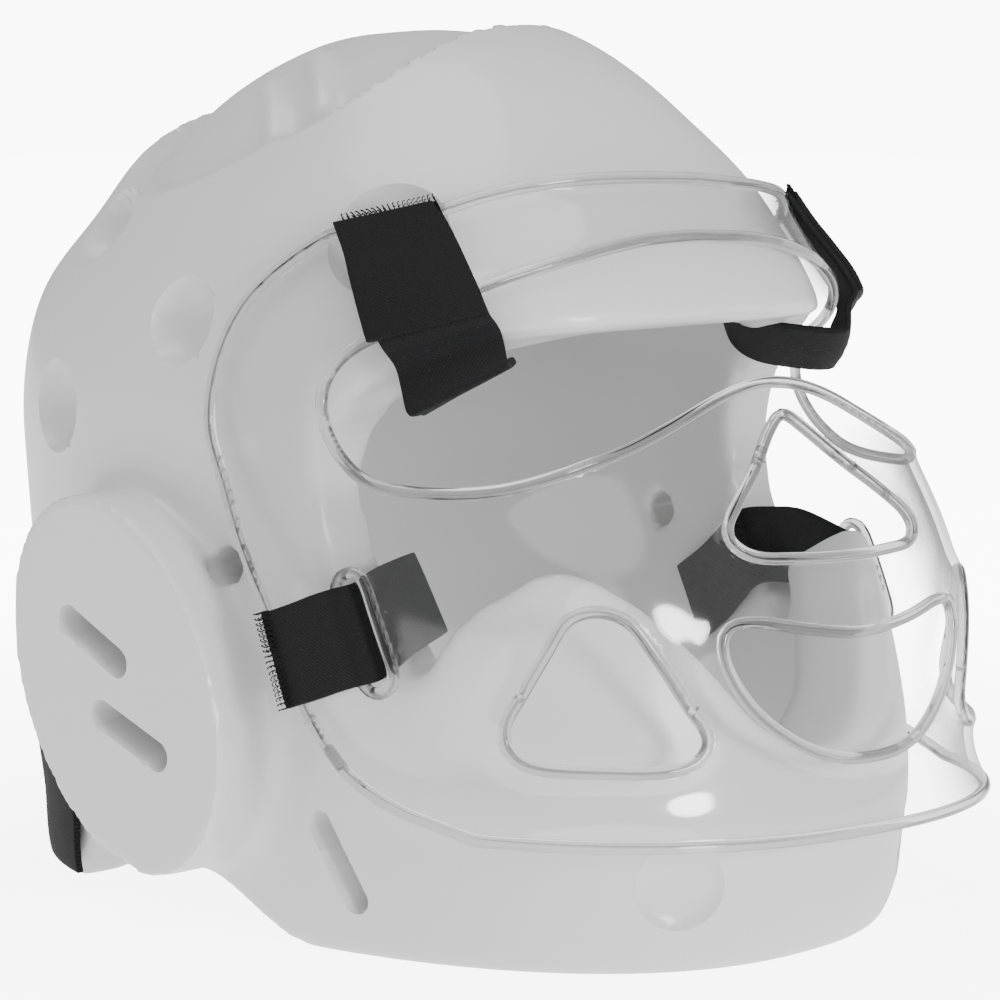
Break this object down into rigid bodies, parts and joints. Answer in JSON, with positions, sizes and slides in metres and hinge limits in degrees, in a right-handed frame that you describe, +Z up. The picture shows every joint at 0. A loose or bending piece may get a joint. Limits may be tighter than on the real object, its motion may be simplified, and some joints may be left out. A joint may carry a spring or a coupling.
{
  "type": "sparring headgear with face shield",
  "caption": "Padded foam sparring headgear with ear cups, an open face and a clear face shield held on by hook-and-loop straps, closed by a wide strap at the back.",
  "frame": {"origin": "under the middle of the whole, on the surface that the rims stand on", "axes": "+Z up through the crown, the wearer looks along -Y, +X towards the wearer's left ear"},
  "size_m": [0.232, 0.2986, 0.2486],
  "materials": {
    "foam": "pale grey-white dipped foam skin, satin gloss",
    "clear_shield": "clear glossy moulded plastic",
    "webbing": "black woven hook-and-loop tape, matte"
  },
  "bodies": {
    "root": {"foam_shell": "foam", "face_shield": "clear_shield", "brow_strap_right": "webbing", "cheek_strap_right": "webbing", "brow_strap_left": "webbing", "cheek_strap_left": "webbing", "back_strap": "webbing"}
  },
  "joints": []
}
